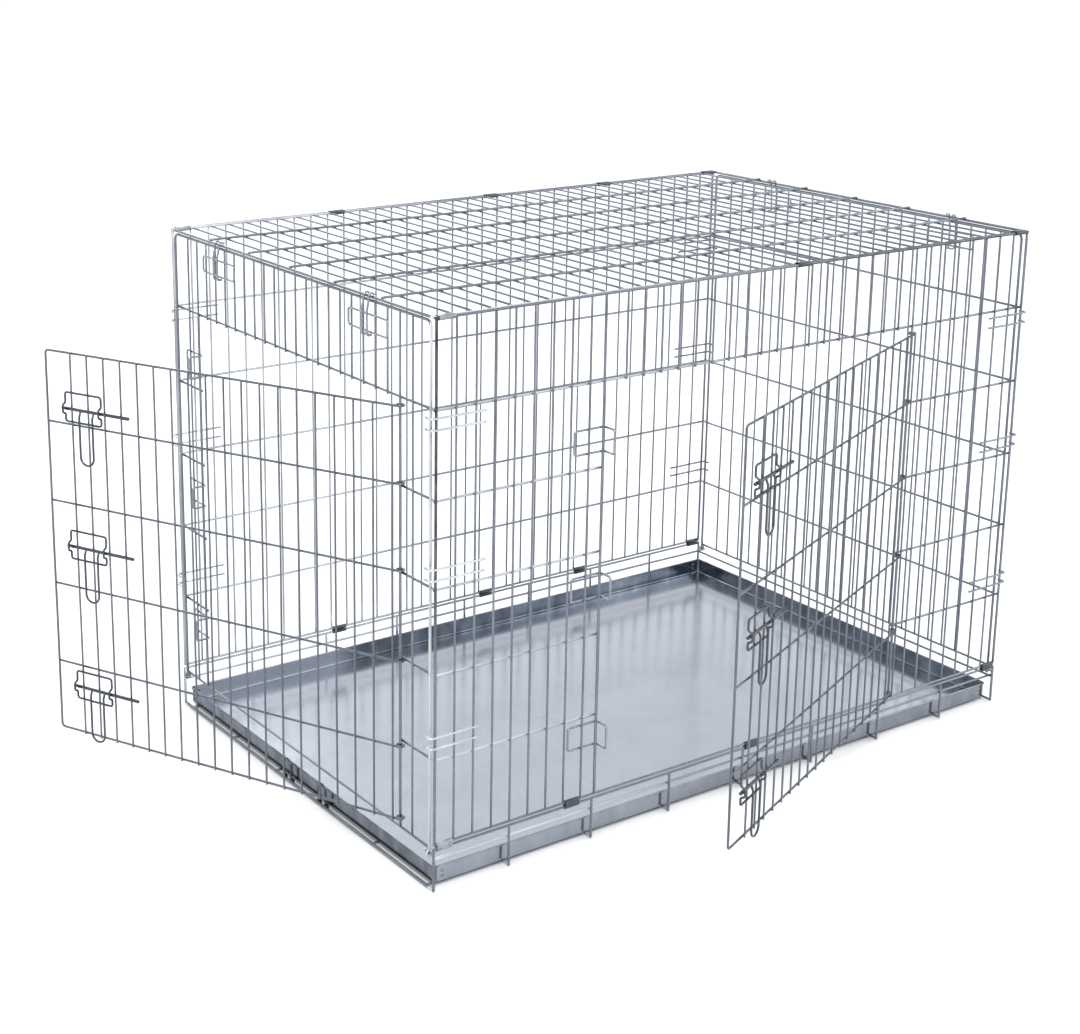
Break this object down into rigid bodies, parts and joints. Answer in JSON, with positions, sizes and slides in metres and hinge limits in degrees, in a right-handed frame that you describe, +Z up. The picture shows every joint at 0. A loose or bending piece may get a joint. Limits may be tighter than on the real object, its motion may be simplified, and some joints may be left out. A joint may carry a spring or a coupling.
{
  "type": "wire dog crate",
  "caption": "Folding welded-wire dog crate with its front and end doors ajar, sliding bolts, inward-folding ends and a slide-out galvanised pan.",
  "frame": {"origin": "on the floor under the middle of the cage (the open doors are left out of the centring)", "axes": "+X along the cage from the end with the door to the plain end, +Y from front to back, +Z up"},
  "size_m": [1.3508, 0.9484, 0.7761],
  "materials": {
    "panel_wire": "satin zinc",
    "sleeve_sheet": "satin zinc",
    "bent_wire": "satin zinc",
    "bolt_wire": "satin zinc",
    "pan_sheet": "galvanised sheet",
    "rivet": "satin"
  },
  "bodies": {
    "cage": {"base_floor_grid": "panel_wire", "base_front_rail": "panel_wire", "base_back_rail": "panel_wire", "base_right_rail": "panel_wire", "base_corner_pivots": "panel_wire", "front_panel_header": "panel_wire", "front_panel_left": "panel_wire", "front_panel_right": "panel_wire", "front_panel_sill": "panel_wire", "back_panel": "panel_wire", "top_panel": "panel_wire", "front_bottom_sleeves": "sleeve_sheet", "back_bottom_sleeves": "sleeve_sheet", "front_top_sleeves": "sleeve_sheet", "back_top_sleeves": "sleeve_sheet", "front_left_hooks": "bent_wire", "front_right_hooks": "bent_wire", "back_left_hooks": "bent_wire", "back_right_hooks": "bent_wire", "front_keepers": "bent_wire"},
    "left_end": {"left_end_header": "panel_wire", "left_end_front_strip": "panel_wire", "left_end_back_strip": "panel_wire", "left_end_sill": "panel_wire", "left_clip_loops": "bent_wire", "end_keepers": "bent_wire"},
    "right_end": {"right_end_panel": "panel_wire", "right_clip_loops": "bent_wire"},
    "front_door": {"front_door_grid": "panel_wire", "front_door_edge": "panel_wire", "front_bolt_guides": "bolt_wire"},
    "end_door": {"end_door_grid": "panel_wire", "end_door_edge": "panel_wire", "end_bolt_guides": "bolt_wire"},
    "tray": {"tray": "pan_sheet", "tray_rivets": "rivet"},
    "front_bolt_top": {"front_bolt_top": "bolt_wire"},
    "front_bolt_middle": {"front_bolt_middle": "bolt_wire"},
    "front_bolt_bottom": {"front_bolt_bottom": "bolt_wire"},
    "end_bolt_top": {"end_bolt_top": "bolt_wire"},
    "end_bolt_middle": {"end_bolt_middle": "bolt_wire"},
    "end_bolt_bottom": {"end_bolt_bottom": "bolt_wire"},
    "left_front_clip": {"left_front_clip": "bent_wire"},
    "left_back_clip": {"left_back_clip": "bent_wire"},
    "right_front_clip": {"right_front_clip": "bent_wire"},
    "right_back_clip": {"right_back_clip": "bent_wire"},
    "tray_stop_front": {"tray_stop_front": "bent_wire"},
    "tray_stop_back": {"tray_stop_back": "bent_wire"}
  },
  "joints": [
    {"name": "left_end_fold", "type": "hinge", "parent": "cage", "child": "left_end", "pos_m": [-0.541, 0, 0.053], "axis": [0, -1, 0], "range_deg": [-85, 0]},
    {"name": "right_end_fold", "type": "hinge", "parent": "cage", "child": "right_end", "pos_m": [0.541, 0, 0.053], "axis": [0, 1, 0], "range_deg": [-90, 0]},
    {"name": "front_door_swing", "type": "hinge", "parent": "cage", "child": "front_door", "pos_m": [0.3, -0.355, 0.36], "axis": [0, 0, 1], "range_deg": [-22.6, 104]},
    {"name": "end_door_swing", "type": "hinge", "parent": "left_end", "child": "end_door", "pos_m": [-0.541, -0.2755, 0.36], "axis": [0, 0, 1], "range_deg": [-26.1, 100]},
    {"name": "front_bolt_top_slide", "type": "slide", "parent": "front_door", "child": "front_bolt_top", "axis": [-0.9232, -0.3843, 0], "range_m": [0, 0.024]},
    {"name": "front_bolt_middle_slide", "type": "slide", "parent": "front_door", "child": "front_bolt_middle", "axis": [-0.9232, -0.3843, 0], "range_m": [0, 0.024]},
    {"name": "front_bolt_bottom_slide", "type": "slide", "parent": "front_door", "child": "front_bolt_bottom", "axis": [-0.9232, -0.3843, 0], "range_m": [0, 0.024]},
    {"name": "end_bolt_top_slide", "type": "slide", "parent": "end_door", "child": "end_bolt_top", "axis": [-0.4399, 0.898, 0], "range_m": [0, 0.024]},
    {"name": "end_bolt_middle_slide", "type": "slide", "parent": "end_door", "child": "end_bolt_middle", "axis": [-0.4399, 0.898, 0], "range_m": [0, 0.024]},
    {"name": "end_bolt_bottom_slide", "type": "slide", "parent": "end_door", "child": "end_bolt_bottom", "axis": [-0.4399, 0.898, 0], "range_m": [0, 0.024]},
    {"name": "left_front_clip_swing", "type": "hinge", "parent": "cage", "child": "left_front_clip", "pos_m": [-0.541, -0.203, 0.77], "axis": [0, 1, 0], "range_deg": [0, 70]},
    {"name": "left_back_clip_swing", "type": "hinge", "parent": "cage", "child": "left_back_clip", "pos_m": [-0.541, 0.203, 0.77], "axis": [0, 1, 0], "range_deg": [0, 70]},
    {"name": "right_front_clip_swing", "type": "hinge", "parent": "cage", "child": "right_front_clip", "pos_m": [0.541, -0.203, 0.77], "axis": [0, -1, 0], "range_deg": [0, 70]},
    {"name": "right_back_clip_swing", "type": "hinge", "parent": "cage", "child": "right_back_clip", "pos_m": [0.541, 0.203, 0.77], "axis": [0, -1, 0], "range_deg": [0, 70]},
    {"name": "tray_slide", "type": "slide", "parent": "cage", "child": "tray", "axis": [1, 0, 0], "range_m": [0, 0.7]},
    {"name": "tray_stop_front_swing", "type": "hinge", "parent": "cage", "child": "tray_stop_front", "pos_m": [-0.541, -0.07, 0.004], "axis": [0, -1, 0], "range_deg": [0, 90]},
    {"name": "tray_stop_back_swing", "type": "hinge", "parent": "cage", "child": "tray_stop_back", "pos_m": [-0.541, 0.028, 0.004], "axis": [0, -1, 0], "range_deg": [0, 90]}
  ]
}
